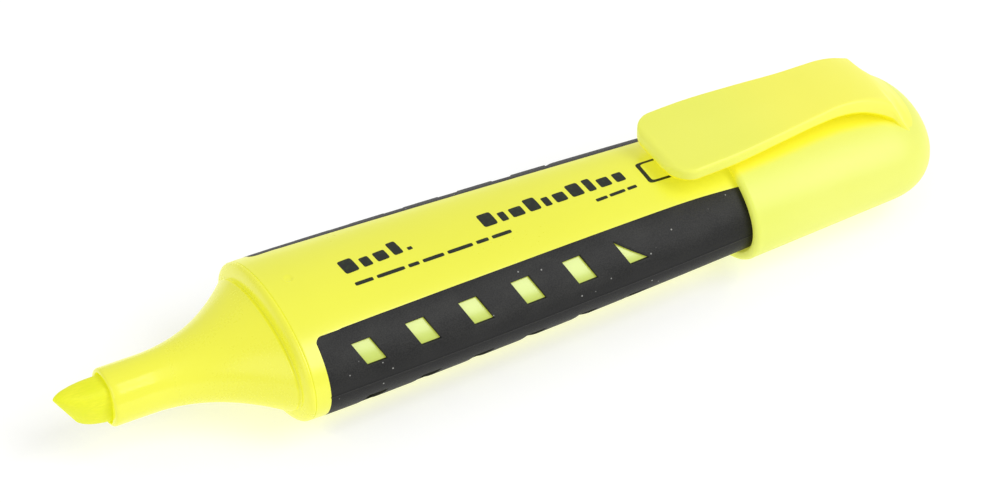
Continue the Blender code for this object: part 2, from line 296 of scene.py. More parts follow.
def oval(angle, half_width, half_height, power=2.0):
    """Superellipse: cosine and sine keep their signs and are raised to 2 / power; flat underneath."""
    cosine, sine = np.cos(angle), np.sin(angle)
    across = half_width * np.sign(cosine) * np.abs(cosine) ** (2 / power)
    rise = half_height * np.sign(sine) * np.abs(sine) ** (2 / power)
    return across, np.maximum(rise, -UNDERSIDE * half_height)


def grip_edge(station):
    """Angle above the side at which a grip ends: the bare panel's half-width is the waist plus a
    hyperbola's flare, and a quarter circle of the corner's radius is taken off at the front."""
    width, height = barrel_half(station)
    away = np.hypot(station - PANEL_WAIST_STATION, PANEL_BEND) - PANEL_BEND
    angle = np.arccos((PANEL_WAIST + PANEL_FLARE * away) / width)
    corner = np.clip(GRIP_CORNER - (station - GRIP_FRONT), 0, GRIP_CORNER)
    inset = GRIP_CORNER - np.sqrt(GRIP_CORNER ** 2 - corner ** 2)
    return angle - inset / height


def smooth(low, high, value):
    """0 below low, 1 above high, and 3 t^2 - 2 t^3 between."""
    t = np.clip((value - low) / (high - low), 0, 1)
    return t * t * (3 - 2 * t)


def ring_faces(rows, columns, looped=False):
    """Quads of a grid whose columns join into rings; the rows may join up too."""
    i = np.arange(rows if looped else rows - 1)[:, None]
    j = np.arange(columns)[None, :]
    beside, below = (j + 1) % columns, (i + 1) % rows
    return np.stack([i * columns + j, i * columns + beside, below * columns + beside, below * columns + j],
                    -1).reshape(-1, 4)


def skin(name, rings, looped=False, sharp=35):
    """Body through rings x columns x 3 points: either the rings join up, or a fan closes each end."""
    rows, columns = rings.shape[:2]
    faces = ring_faces(rows, columns, looped).tolist()
    points = rings.reshape(-1, 3)
    if not looped:
        ends = np.stack([rings[0].mean(0), rings[-1].mean(0)])
        here = np.arange(columns)
        beside = (here + 1) % columns
        hub, last = rows * columns, (rows - 1) * columns
        faces += np.stack([np.full(columns, hub), beside, here], -1).tolist()
        faces += np.stack([np.full(columns, hub + 1), last + here, last + beside], -1).tolist()
        points = np.concatenate([points, ends])
    return add_mesh(name, points, faces, sharp)


def mark_points(body, name, values):
    """Attribute of a body's rings of points, for its material; the hubs of its two ends get 0."""
    attribute = body.data.attributes.new(name, "FLOAT", "POINT")
    attribute.data.foreach_set("value", np.append(values.ravel(), [0.0, 0.0]).astype(np.float32))


def quarter(count):
    """Sine and one minus cosine over a quarter turn, for rounded edges."""
    turn = np.linspace(0, math.pi / 2, count)
    return np.sin(turn), 1 - np.cos(turn)


def barrel_ring(station, around, insets):
    """Oval at a station, smaller than the barrel there by an inset across and an inset up."""
    width, height = barrel_half(station)
    return place(station, *oval(around, width - insets[0], height - insets[1]))


def barrel_skin(around):
    """Outside behind the mouth's edge: sunk inside each grip's outline, and dished with a low rim at the
    gate. Also the share by which each point is sunk."""
    fine = np.linspace(GATE[0] - 0.9 * MM, GATE[0] + 0.9 * MM, 26)
    stations = np.concatenate([np.linspace(BARREL_FRONT + MOUTH_ROUND, fine[0], 20)[:-1], fine,
                               np.linspace(fine[-1], BARREL_REAR - REAR_ROUND, 220)[1:]])
    station, angle = np.meshgrid(stations, around, indexing="ij")
    width, height = barrel_half(station)
    lean = np.abs(np.arcsin(np.sin(angle)))
    inside = np.minimum(station - GRIP_FRONT, GRIP_REAR - station)
    inside = np.minimum(inside, (grip_edge(station) - lean) * height)
    bed = smooth(0.25 * MM, 0.8 * MM, inside)
    across, rise = oval(angle, width - GRIP_BED * bed, height - GRIP_BED * bed)
    near_gate = np.hypot(station - GATE[0], across - GATE[1]) / MM
    dish = (GATE_DISH * (1 - smooth(0.28, 0.60, near_gate))
            - GATE_RIM * np.exp(-((near_gate - 0.66) / 0.10) ** 2))
    return place(station, across, rise - np.where(rise > 0, dish, 0)), bed


def barrel_rings():
    """Ovals from the closed end of the hollow forward to the mouth, round the mouth's edge, back over
    the outside, and round the rear's edge to a shallow recess in the rear face. The angles are close
    together over the gate. Also the number of rings before the outside, and the outside's sinking."""
    gate_low, gate_high = math.pi / 2 - 0.05, math.pi / 2 + 0.14
    around = np.concatenate([np.linspace(-1.5 * math.pi, gate_low, 250)[:-1],
                             np.linspace(gate_low, gate_high, 30)[:-1]])
    around = np.unique(np.round(np.mod(around, math.tau), 9))
    hollow = [barrel_ring(BARREL_REAR - distance * MM, around, WALL) for distance in (2.0, 30.0, 50.0, 69.0)]
    hollow.append(barrel_ring(BARREL_FRONT, around, WALL))
    lip = [barrel_ring(BARREL_FRONT + MOUTH_ROUND * c, around, [MOUTH_ROUND * (1 - s)] * 2)
           for s, c in list(zip(*quarter(6)))[:-1]]
    rear = [barrel_ring(BARREL_REAR - REAR_ROUND * (1 - s), around, [REAR_ROUND * c] * 2)
            for s, c in list(zip(*quarter(8)))[1:]]
    width, height = barrel_half(BARREL_REAR)
    for share, sink in ((0.80, 0.0), (0.66, 0.02), (0.60, 0.25), (0.30, 0.28), (0.05, 0.28)):
        rear.append(place(BARREL_REAR - sink * MM, *oval(around, width * share, height * share)))
    outside, bed = barrel_skin(around)
    return np.concatenate([np.stack(hollow + lip), outside, np.stack(rear)]), len(hollow + lip), bed


def yellow_plastic(name, base, glow, dullness, pale=None):
    """Fluorescent moulded plastic: cloudy flow marks in color and roughness, a fine moulded skin that is
    glossier on the nozzle, a painted glow of its own that keeps the shaded sides bright, and a paler tint
    where the piece's attribute says that the wall lies bare under the rubber."""
    material, shader, place_in = start_material(name)
    clouds = place_in.noise(90, 3, (0.4, 1, 1))
    color = clouds.ramp(0.3, 0.7).mix([part * 0.97 for part in base], [min(1, part * 1.02) for part in base])
    if pale:
        under = place_in.node("ShaderNodeAttribute", {"attribute_name": "under_rubber"}, output="Fac")
        color = under.mix(color, pale)
    connect(shader, "Base Color", color)
    skin_grain = place_in.noise(2600, 2)
    along = place_in.node("ShaderNodeSeparateXYZ", None, {"Vector": place_in}, "X")
    behind_nozzle = along.ramp(nozzle_face + 4.5 * MM, nozzle_face + 8.0 * MM)
    connect(shader, "Roughness", dullness + behind_nozzle * 0.15 + clouds * 0.08 + skin_grain * 0.03)
    connect(shader, "Normal", bump(clouds * 4.0 + skin_grain * 0.15, 0.10, 0.00008))
    # Painted glow: a weak emission that stands in for fluorescence and lifts the shade on every side.
    shader.inputs["Emission Color"].default_value = (*glow, 1)
    shader.inputs["Emission Strength"].default_value = 0.30
    shader.inputs["Subsurface Weight"].default_value = 0.12
    shader.inputs["Subsurface Radius"].default_value = (1.0, 1.0, 0.25)
    shader.inputs["Subsurface Scale"].default_value = 0.0012
    shader.inputs["Specular IOR Level"].default_value = 0.75
    return material


rings, first_outer, bed = barrel_rings()
barrel = skin("barrel_tube", rings)
under_rubber = np.zeros(rings.shape[:2])
under_rubber[first_outer:first_outer + len(bed)] = bed
mark_points(barrel, "under_rubber", under_rubber)
barrel.data.materials.append(yellow_plastic("barrel_yellow", (0.59, 0.59, 0.045), (0.98, 1.0, 0.04), 0.09,
                                            pale=(0.295, 0.405, 0.115)))
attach(barrel, "barrel")
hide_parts("barrel")

# Nose section ----------------------------------------------------------------------------
# One yellow moulding: round nozzle, trumpet cone and a rounded rim, with a skirt that is pushed
# into the barrel. A small round groove runs between the cone and the rim.

NOZZLE = 3.45 * MM              # radius
NOZZLE_STRAIGHT = 5.0 * MM
NOZZLE_EDGE = 0.40 * MM
CONE_BACK = 19.40 * MM
CONE_HALF = (10.9 * MM, 6.05 * MM)
CONE_POWER = 2.05
GROOVE = (0.75 * MM, 0.42 * MM)       # length and depth
RIM_BACK = BARREL_FRONT - 0.03 * MM
RIM_EDGE = 0.1 * MM
BORE = (2.35 * MM, 2.85 * MM)
BORE_EDGE = 0.15 * MM
BORE_POWER = 3.2
SKIRT_GAP = 0.3 * MM


def cone_half(station):
    """Half-sizes of the nozzle and cone: the nozzle's radius plus a power of the way along the cone."""
    flare = max(0.0, (station - NOZZLE_STRAIGHT) / (CONE_BACK - NOZZLE_STRAIGHT)) ** CONE_POWER
    return [NOZZLE + (half - NOZZLE) * flare for half in CONE_HALF]


def nose_rings():
    """Rings forward along the bore, round the nozzle's edge, back along the cone and down into the
    groove, over the quarter-round rim, back over the skirt, and forward through its hollow."""
    around = np.linspace(0, math.tau, 256, endpoint=False)
    rows = []

    def add(station, half_width, half_height, power=2.0):
        rows.append(place(station, *oval(around, half_width, half_height, power)))

    add(9.8 * MM, *BORE, BORE_POWER)
    add(4.0 * MM, *BORE, BORE_POWER)
    for s, c in zip(*quarter(5)):
        add(BORE_EDGE * (1 - s), *(half + BORE_EDGE * c for half in BORE), BORE_POWER - 0.5 * c)
    for s, c in zip(*quarter(8)):
        add(NOZZLE_EDGE * c, *[NOZZLE - NOZZLE_EDGE * (1 - s)] * 2)
    length, depth = GROOVE
    for station in np.concatenate([np.linspace(NOZZLE_EDGE, NOZZLE_STRAIGHT, 8)[1:],
                                   np.linspace(NOZZLE_STRAIGHT, CONE_BACK - length, 60)[1:]]):
        add(station, *cone_half(station))
    for t in np.linspace(0, 1, 12)[1:]:
        station = CONE_BACK - length + length * t
        drop = depth * smooth(0.15, 0.95, t) ** 1.3
        add(station, *(half - drop for half in cone_half(station)))
    rim = (BARREL_HALF_WIDTH, barrel_half_height)
    for s, c in list(zip(*quarter(16)))[1:]:
        add(CONE_BACK + (RIM_BACK - RIM_EDGE - CONE_BACK) * c,
            *(cone - depth + (half - cone + depth) * s for cone, half in zip(CONE_HALF, rim)))
    for s, c in list(zip(*quarter(5)))[1:]:
        add(RIM_BACK - RIM_EDGE * (1 - s), *(half - RIM_EDGE * c for half in rim))
    skirt = [half - wall - SKIRT_GAP for half, wall in zip(rim, WALL)]
    add(RIM_BACK, *skirt)
    for station, inset in ((26.0, 0.1), (26.5, 0.5), (26.5, 1.1)):
        add(station * MM, *(half - inset * MM for half in skirt))
    for station, radius in ((20.5, 4.3), (16.4, 4.3), (14.0, 3.6), (11.2, 3.1)):
        add(station * MM, radius * MM, radius * MM)
    return np.stack(rows)


nose = skin("nose_cone", nose_rings(), looped=True)
nose.data.materials.append(yellow_plastic("nose_yellow", (0.60, 0.59, 0.042), (0.98, 1.0, 0.03), 0.07))
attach(nose, "barrel")
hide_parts("nose_section")

# Nib -------------------------------------------------------------------------------------
# Chisel of bonded polyester fibre, pressed and ground to a slanted edge, wet with yellow ink.
# It is pushed through the bore of the nozzle, and its round tail draws from the reservoir.

NIB = (2.1 * MM, 2.6 * MM)      # half-width and half-height
NIB_EDGE = -4.72 * MM           # station of the middle of the writing edge
NIB_SLOPE = -0.618              # of the writing edge, station against height
NIB_BEVEL = 4.4 * MM
NIB_SHOULDER = 9.0 * MM


def nib_rings():
    """Rounded-rectangle rings that lean with the writing edge; the half-width grows from the edge over
    the bevel as a softened wedge, and the half-height as a short rounding."""
    around = np.linspace(0, math.tau, 128, endpoint=False)
    rows = []
    for t in np.linspace(0.0, 1.0, 34) ** 1.6:
        wide = (1 - (1 - t) ** 2.2) ** 0.62
        tall = 0.80 + 0.20 * (1 - (1 - min(1.0, t / 0.35)) ** 2) ** 0.5
        across, rise = oval(around, max(0.05 * MM, NIB[0] * wide), NIB[1] * tall, BORE_POWER - 0.6 * (1 - t))
        rows.append(place(NIB_EDGE + NIB_BEVEL * t + NIB_SLOPE * rise * (1 - 0.25 * t), across, rise))
    for station in (5.0 * MM, NIB_SHOULDER):
        rows.append(place(station, *oval(around, *NIB, BORE_POWER)))
    for station, radius in ((10.0, 1.3), (22.7, 1.3), (23.0, 1.1)):
        rows.append(place(station * MM, *oval(around, radius * MM, radius * MM)))
    return np.stack(rows)


def wet_felt():
    """Bonded fibre: short strands along the nib in color and bump, darker and greener where wettest."""
    material, shader, place_in = start_material("wet_felt")
    strands = place_in.noise(5200, 3, (0.22, 1, 1))
    patches = place_in.noise(420, 2)
    dry = strands.ramp(0.25, 0.75).mix((0.52, 0.55, 0.010), (0.62, 0.62, 0.024))
    connect(shader, "Base Color", patches.ramp(0.35, 0.7).mix(dry, (0.54, 0.58, 0.006)))
    connect(shader, "Roughness", 0.45 + strands * 0.3)
    connect(shader, "Normal", bump(strands + place_in.noise(9000, 2) * 0.6, 0.30, 0.00008))
    # Painted glow: a weak emission that keeps the nib bright in its shade, standing in for the ink's
    # fluorescence.
    shader.inputs["Emission Color"].default_value = (0.98, 1.0, 0.0, 1)
    shader.inputs["Emission Strength"].default_value = 0.30
    shader.inputs["Subsurface Weight"].default_value = 0.3
    shader.inputs["Subsurface Radius"].default_value = (1.0, 1.0, 0.2)
    shader.inputs["Subsurface Scale"].default_value = 0.0010
    return material


nib = skin("chisel_nib", nib_rings(), sharp=60)
nib.data.materials.append(wet_felt())
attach(nib, "barrel")
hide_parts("nib")

# Rubber grips ----------------------------------------------------------------------------
# Black thermoplastic rubber moulded over each side of the barrel, with two rows of slanted windows
# that bare the plastic, and a faint parting line along the middle.

WINDOW_FIRST = 26.09 * MM
WINDOW_PITCH = 6.89 * MM
WINDOW_LENGTH = 2.39 * MM
WINDOWS = 6                     # the last one is cut across into a triangle
WINDOW_TOP = 4.47 * MM
WINDOW_BOTTOM = 2.26 * MM
WINDOW_SLANT = 1.21 * MM
RUBBER = 0.60 * MM              # depth of the inner sheet under the barrel's outline
RUBBER_PROUD = 0.02 * MM
EDGE_ROUND = 0.26 * MM
HOLE_ROUND = 0.10 * MM
PARTING = (0.05 * MM, 0.07 * MM)      # height and half-width of the parting line


def grip_lines():
    """Stations and heights that the grid's lines follow; both are close together at the outline and at
    the windows' edges. Also the two stations that bound each window."""
    near = np.array([0.0, 0.04, 0.10, 0.20]) * MM
    stations = [GRIP_FRONT + GRIP_CORNER * quarter(22)[1]]
    bounds = [(WINDOW_FIRST + i * WINDOW_PITCH, WINDOW_FIRST + i * WINDOW_PITCH + WINDOW_LENGTH)
              for i in range(WINDOWS)]
    for front, rear in bounds:
        stations += [front - near, np.linspace(front, rear, 13), rear + near,
                     np.linspace(rear + near[-1], front + WINDOW_PITCH - near[-1], 8)]
    stations += [np.linspace(bounds[-1][1] + 2 * MM, GRIP_REAR - 1.0 * MM, 24),
                 GRIP_REAR - np.linspace(0, 1, 12) ** 1.5 * MM]
    stations = np.unique(np.round(np.concatenate(stations), 8))
    stations = stations[(stations >= GRIP_FRONT - 1e-9) & (stations <= GRIP_REAR + 1e-9)]
    heights = np.concatenate([np.array([0.0, 0.06, 0.14, 0.3]) * MM,
                              np.linspace(0.3 * MM, WINDOW_BOTTOM - near[-1], 8), WINDOW_BOTTOM - near,
                              np.linspace(WINDOW_BOTTOM, WINDOW_TOP, 13), WINDOW_TOP + near])
    return stations, np.unique(np.round(heights, 8)), bounds


def rounded_drop(distance, radius):
    """How far a quarter-round edge lies below the surface, by the distance inside the edge."""
    corner = np.clip(1 - distance / radius, 0, 1)
    return radius * (1 - np.sqrt(1 - corner ** 2))


def half_grip(stations, heights, bounds):
    """Station, lean angle and depth over the grid from the middle line up to the outline. Up is a share
    of the outline's height, stations slide rearward by the windows' slant, the outline and the windows'
    edges round off, and the parting line stands proud."""
    first, last = bounds[0][0], bounds[-1][1]
    beyond = 1 - (1 - np.linspace(0, 1, 16)) ** 1.8
    station = np.repeat(stations[:, None], len(heights) + len(beyond) - 1, axis=1)
    held = np.clip(stations, first, last)[:, None]
    share = np.minimum(heights / (barrel_half(held)[1] * np.sin(grip_edge(held))), 1)
    outer_share = share[:, -1:] + (1 - share[:, -1:]) * beyond[1:]
    rise = np.concatenate([share, outer_share], axis=1) * barrel_half(station)[1] * np.sin(grip_edge(station))
    fade = smooth(GRIP_FRONT, first - 0.3 * MM, station)
    fade = fade * (1 - smooth(last + 0.4 * MM, last + 8 * MM, station))
    slant = np.clip((WINDOW_TOP - rise) / (WINDOW_TOP - WINDOW_BOTTOM), 0, 1)
    slid = station + WINDOW_SLANT * fade * slant
    height = barrel_half(slid)[1]
    lean = np.arcsin(np.clip(rise / height, 0, 1))
    to_edge = np.minimum(np.minimum(slid - GRIP_FRONT, GRIP_REAR - slid), (grip_edge(slid) - lean) * height)
    to_edge[:, -1] = 0
    drop = rounded_drop(to_edge, EDGE_ROUND)
    for front, rear in bounds:
        gap = np.maximum(np.maximum(front - station, station - rear),
                         np.maximum(WINDOW_BOTTOM - rise, rise - WINDOW_TOP))
        if rear == last:
            slope = (rear - front) / (WINDOW_TOP - WINDOW_BOTTOM)
            gap = np.maximum(gap, (station - front - slope * (WINDOW_TOP - rise)) / math.hypot(1, slope))
        drop = np.maximum(drop, rounded_drop(gap, HOLE_ROUND) * (gap > -1e-7))
    return slid, lean, drop - PARTING[0] * np.exp(-(rise / PARTING[1]) ** 2)


def mirrored(half, sign=1):
    """Whole width of a grip from its upper half, whose values repeat below the middle line."""
    return np.concatenate([sign * half[:, :0:-1], half], axis=1)


def cut_windows(cells, stations, heights, bounds):
    """Quads and triangles that are left of the grid's cells without the windows; the last window of each
    row leaves the cells on one side of its diagonal, and halves of those on it."""
    keep = np.ones(cells.shape[:2], bool)
    middle = cells.shape[1] // 2
    bottom, top = (int(np.argmin(np.abs(heights - at))) for at in (WINDOW_BOTTOM, WINDOW_TOP))
    quads, triangles = [], []
    for order, ends in enumerate(bounds):
        i0, i1 = (int(np.argmin(np.abs(stations - at))) for at in ends)
        for upper, j0, j1 in ((True, middle + bottom, middle + top), (False, middle - top, middle - bottom)):
            keep[i0:i1, j0:j1] = False
            if order == WINDOWS - 1:
                block = cells[i0:i1, j0:j1]
                i, j = np.indices(block.shape[:2])
                from_top = j1 - j0 - 1 - j if upper else j
                quads.append(block[i > from_top])
                triangles.append(block[i == from_top][:, [1, 2, 3] if upper else [0, 1, 2]])
    return np.concatenate([cells[keep], *quads]), np.concatenate(triangles)


def closed_sheets(quads, triangles, total):
    """Blocks of faces: the outer sheet, the inner sheet turned round, whose point numbers are higher by
    the total, and walls between the edges that belong to one face only."""
    edges = np.concatenate([block[:, [k, (k + 1) % block.shape[1]]]
                            for block in (quads, triangles) for k in range(block.shape[1])])
    rim = edges[~np.isin(edges @ [total, 1], edges @ [1, total])]
    walls = np.concatenate([rim[:, ::-1], rim + total], axis=1)
    return quads, quads[:, ::-1] + total, walls, triangles, triangles[:, ::-1] + total


def grip_shell(name, side):
    """Rubber over one side of the barrel: an outer sheet with its windows, and an inner one under it."""
    stations, heights, bounds = grip_lines()
    slid, lean, drop = half_grip(stations, heights, bounds)
    slid, lean, drop = mirrored(slid), mirrored(lean, -1), mirrored(drop)
    width, height = barrel_half(slid)
    sheets = []
    for depth in (drop - RUBBER_PROUD, RUBBER):
        across, rise = oval(lean, width - depth, height - depth)
        sheets.append(place(slid, side * across, rise).reshape(-1, 3))
    rows, columns = slid.shape
    cells = grid_faces(rows, columns).reshape(rows - 1, columns - 1, 4)
    blocks = closed_sheets(*cut_windows(cells, stations, heights, bounds), rows * columns)
    faces = [face for block in blocks for face in (block[:, ::-1] if side > 0 else block).tolist()]
    return add_mesh(name, np.concatenate(sheets), faces, sharp=40)


def black_rubber():
    """Matt black rubber: fine stipple, faint random mottles that show above the middle and fade out below it,
    as painted light on the grip's upper side, and a few specks of pale dust, each at the point of a randomly
    chosen cell."""
    material, shader, place_in = start_material("grip_rubber")
    stipple = place_in.noise(7000, 2)
    marks = place_in.noise(350, 4, (0.5, 1, 1))
    height = place_in.node("ShaderNodeSeparateXYZ", None, {"Vector": place_in}, "Z")
    mottle_lit_above = (marks.ramp(0.35, 0.75) + stipple.ramp(0.35, 0.65)) * 0.5
    # Painted light: the mottling shows only above the middle, so the upper side looks lit and the lower side
    # darker.
    mottle_lit_above = mottle_lit_above * height.ramp(axis_height - 1 * MM, axis_height + 3 * MM)
    color = mottle_lit_above.mix((0.004, 0.004, 0.004), (0.028, 0.028, 0.026))
    distance, tint = (place_in.node("ShaderNodeTexVoronoi", None, {"Vector": place_in, "Scale": 760}, output)
                      for output in ("Distance", "Color"))
    lot = tint.node("ShaderNodeSeparateColor", None, {"Color": tint})
    speck = (1 - distance.ramp(0.04, 0.10)) * lot.ramp(0.50, 0.51)
    connect(shader, "Base Color", speck.mix(color, (0.34, 0.34, 0.32)))
    connect(shader, "Roughness", 0.42 + stipple * 0.14 + marks * 0.10)
    connect(shader, "Normal", bump(stipple, 0.70, 0.00006))
    shader.inputs["Specular IOR Level"].default_value = 0.32
    return material


rubber = black_rubber()
for node, name, side in (("left_grip", "left_rubber", -1), ("right_grip", "right_rubber", 1)):
    grip = grip_shell(name, side)
    grip.data.materials.append(rubber)
    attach(grip, "barrel")
    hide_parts(node)

# Printing --------------------------------------------------------------------------------
# Pad-printed near-black ink on the top panel: plain rounded blocks in rows and an empty outline
# box, with no letters. The ink lies a fiftieth of a millimetre proud of the plastic.

INK_HEIGHT = 0.02 * MM
INK_FOOT = 0.05 * MM            # how far the blocks' sides go into the plastic


def ink_patch(center, half, corner, turn=0.0, hole=0.0):
    """Rounded rectangle as rings of a disc: share times a superellipse-cornered outline, turned and
    laid on the barrel's top; with a hole it starts at that share of the size."""
    around = np.linspace(0, math.tau, 32, endpoint=False)
    reach = np.array(half) * MM
    power = 2 + 8 * (1 - corner)
    shares = np.linspace(hole or 0.02, 1, 4)
    along = np.sign(np.cos(around)) * np.abs(np.cos(around)) ** (2 / power) * reach[0]
    aside = np.sign(np.sin(around)) * np.abs(np.sin(around)) ** (2 / power) * reach[1]
    cosine, sine = math.cos(turn), math.sin(turn)
    station = center[0] * MM + shares[:, None] * (along * cosine - aside * sine)
    across = center[1] * MM + shares[:, None] * (along * sine + aside * cosine)
    return station, across


def ink_mesh(name, patches):
    """All patches as one mesh. Each is a thin slab whose top follows the barrel, its rise being the
    half-height times the root of one minus the square of the way across; its foot is in the plastic."""
    points, faces, offset = [], [], 0
    for station, across, hollow in patches:
        width, height = barrel_half(station)
        rise = height * np.sqrt(1 - (across / width) ** 2)
        top = place(station, across, rise + INK_HEIGHT)
        foot = place(station[-1:], across[-1:], rise[-1:] - INK_FOOT)
        start = place(station[:1], across[:1], rise[:1] - INK_FOOT)
        rings = np.concatenate([start, top, foot] if hollow else [top, foot])
        rows, columns = rings.shape[:2]
        faces += (ring_faces(rows, columns, hollow) + offset).tolist()
        if not hollow:
            faces.append([offset + k for k in range(columns)][::-1])
            faces.append([offset + (rows - 1) * columns + k for k in range(columns)])
        points.append(rings.reshape(-1, 3))
        offset += rows * columns
    return add_mesh(name, np.concatenate(points), faces)


def block_row(start, end, widths, gap, tall, corner=0.35):
    """Rounded blocks side by side along a straight line, with their widths scaled to fill it."""
    start, end = np.array(start), np.array(end)
    length = np.hypot(*(end - start))
    scale = (length - gap * (len(widths) - 1)) / sum(widths)
    turn = math.atan2(*(end - start)[::-1])
    patches, at = [], 0.0
    for width, (low, high) in zip(widths, tall):
        half = (width * scale / 2, (high - low) / 2)
        along = (at + half[0]) / length
        center = start + (end - start) * along
        normal = np.array([-math.sin(turn), math.cos(turn)])
        patches.append((*ink_patch(center + normal * (low + high) / 2, half, corner, turn), False))
        at += width * scale + gap
    return patches


def printing_ink():
    """Dense ink, thin enough to let a little green through in places."""
    material, shader, place_in = start_material("printing_ink")
    cover = place_in.noise(1800, 3)
    connect(shader, "Base Color", cover.ramp(0.45, 0.8).mix((0.006, 0.010, 0.004), (0.020, 0.034, 0.008)))
    connect(shader, "Roughness", 0.40 + cover * 0.15)
    return material


TALL, SMALL = (0, 2.3), (0, 1.6)      # foot and head of a block over its row's line, in millimetres
prints = block_row((29.6, -1.7), (38.4, -1.0), (1.5, 1.0, 1.3, 1.0, 0.5), 0.62,
                   (TALL, SMALL, SMALL, TALL, (0, 0.5)))
prints += block_row((29.8, -3.7), (50.0, -3.2), (2.2, 3.4, 1.3, 2.6, 3.1, 1.5, 2.4), 0.5, ((0, 0.5),) * 7)
prints += block_row((47.5, -1.3), (66.4, -0.8), (1.4, 0.7, 1.3, 1.2, 0.7, 1.2, 1.3, 0.8, 1.2, 1.0), 0.58,
                    (TALL, SMALL, SMALL, TALL, SMALL, SMALL, TALL, TALL, SMALL, SMALL))
prints += block_row((61.4, -2.75), (66.9, -2.45), (1.6, 2.2, 1.3), 0.35, ((0, 0.45),) * 3)
prints.append((*ink_patch((71.4, -0.65), (2.9, 1.9), 0.0, 0.0, 0.82), True))
ink = ink_mesh("printed_blocks", prints)
ink.data.materials.append(printing_ink())
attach(ink, "barrel")

# Cap -------------------------------------------------------------------------------------
# Oval cap moulded in the same yellow, a little paler and milkier, with a rounded lip and a domed
# closed end. It is pushed over the rear of the barrel.

cap_low, cap_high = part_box("cap_shell")
CAP_MOUTH = cap_low.x - nozzle_face
CAP_END = cap_high.x - nozzle_face + 0.2 * MM     # the rounder end stands out this much further
CAP_HALF = (11.2 * MM, 7.5 * MM)
CAP_BORE = (10.1 * MM, 6.32 * MM)
CAP_TAPER = (0.050, 0.045)
CAP_DOME = 8.0 * MM
DOME_POWER = 2.35
END_WALL = 1.1 * MM
LIP = 0.6 * MM                  # rounding of the mouth outside
BORE_MOUTH = 0.25 * MM          # and inside


def cap_half(station, mouth=CAP_HALF, end=CAP_END):
    """Half-sizes that taper from the mouth, times the fullness of the rounded end, which is the p-th
    root of one minus the p-th power of the way into the dome."""
    into = np.clip((station - (end - CAP_DOME)) / CAP_DOME, 0, 1)
    full = (1 - into ** DOME_POWER) ** (1 / DOME_POWER)
    return [(half - taper * (station - CAP_MOUTH)) * full for half, taper in zip(mouth, CAP_TAPER)]


def cap_rings():
    """Rings forward inside the bore, round the lip, and back over the outside to the domed end."""
    around = np.linspace(0, math.tau, 288, endpoint=False)
    into = np.sin(np.linspace(0, math.pi / 2, 30)[:-1]) ** (2 / DOME_POWER)
    rows = []
    inner_end = CAP_END - END_WALL
    for station in (inner_end - CAP_DOME * (1 - into))[::-1]:
        rows.append(place(station, *oval(around, *cap_half(station, CAP_BORE, inner_end))))
    for s, c in zip(*quarter(5)):
        bore = (half + BORE_MOUTH * c for half in CAP_BORE)
        rows.append(place(CAP_MOUTH + BORE_MOUTH * (1 - s), *oval(around, *bore)))
    for s, c in zip(*quarter(9)):
        rows.append(place(CAP_MOUTH + LIP * c, *oval(around, *(half - LIP * (1 - s) for half in CAP_HALF))))
    outside = np.concatenate([np.linspace(CAP_MOUTH + LIP, CAP_END - CAP_DOME, 60)[1:-1],
                              CAP_END - CAP_DOME * (1 - into)])
    for station in outside:
        rows.append(place(station, *oval(around, *cap_half(station))))
    return np.stack(rows)


def cap_plastic(name, thin, thick):
    """The cap's milky yellow: paler than the barrel, with cloudy flow marks, greener near its mouth, where
    dark rubber lies under the thin wall, with a painted glow that keeps the shaded sides bright, and painted
    shade under the clip: a deeper, more saturated yellow with an orange glow where the light stays caught."""
    material, shader, place_in = start_material(name)
    clouds = place_in.noise(80, 3, (0.5, 1, 1))
    along = place_in.node("ShaderNodeSeparateXYZ", None, {"Vector": place_in}, "X")
    grain = place_in.noise(2600, 2)
    color = clouds.ramp(0.3, 0.7).mix(thin, thick)
    mouth = nozzle_face + CAP_MOUTH
    shade = (1 - along.ramp(mouth, mouth + 12 * MM)) * 0.5
    under = place_in.node("ShaderNodeAttribute", {"attribute_name": "painted_clip_shade"}, output="Fac")
    # Painted shade under the clip: the color turns a deep saturated yellow there, and the glow turns orange.
    connect(shader, "Base Color", under.mix(shade.mix(color, (0.50, 0.57, 0.095)), (0.66, 0.60, 0.012)))
    connect(shader, "Emission Color", under.mix((0.98, 1.0, 0.10), (1.0, 0.94, 0.0)))
    connect(shader, "Roughness", 0.38 + clouds * 0.08 + grain * 0.03)
    connect(shader, "Normal", bump(clouds * 4.0 + grain * 0.15, 0.10, 0.00008))
    shader.inputs["Emission Strength"].default_value = 0.30
    shader.inputs["Subsurface Weight"].default_value = 0.3
    shader.inputs["Subsurface Radius"].default_value = (1.0, 1.0, 0.4)
    shader.inputs["Subsurface Scale"].default_value = 0.0014
    return material


cap_points = cap_rings()
cap = skin("cap_cover", cap_points)
cap.data.materials.append(cap_plastic("cap_yellow", (0.525, 0.560, 0.115), (0.550, 0.580, 0.140)))
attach(cap, "cap")
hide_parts("cap_shell")

# Sealing sleeve --------------------------------------------------------------------------
# Soft polyethylene sleeve inside the cap's closed end, which closes on the nozzle when capped.
# It stays as the frame has it; only its open mouth could be seen, deep in the cap.


def soft_sleeve():
    """Waxy sleeve with faint turned rings in its roughness."""
    material, shader, place_in = start_material("soft_sleeve")
    rings_along = place_in.noise(2000, 2, (1, 0.05, 0.05))
    connect(shader, "Base Color", rings_along.mix((0.80, 0.83, 0.30), (0.90, 0.92, 0.42)))
    connect(shader, "Roughness", 0.40 + rings_along * 0.2)
    return material


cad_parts["inner_cap"].data.materials[0] = soft_sleeve()

# Clip ------------------------------------------------------------------------------------
# Broad shield-shaped blade moulded in one piece with the cap: it rises from the cap's rear, bridges
# forward over the mouth, and ends in a blunt tip with rounded corners. It bends just ahead of its web.

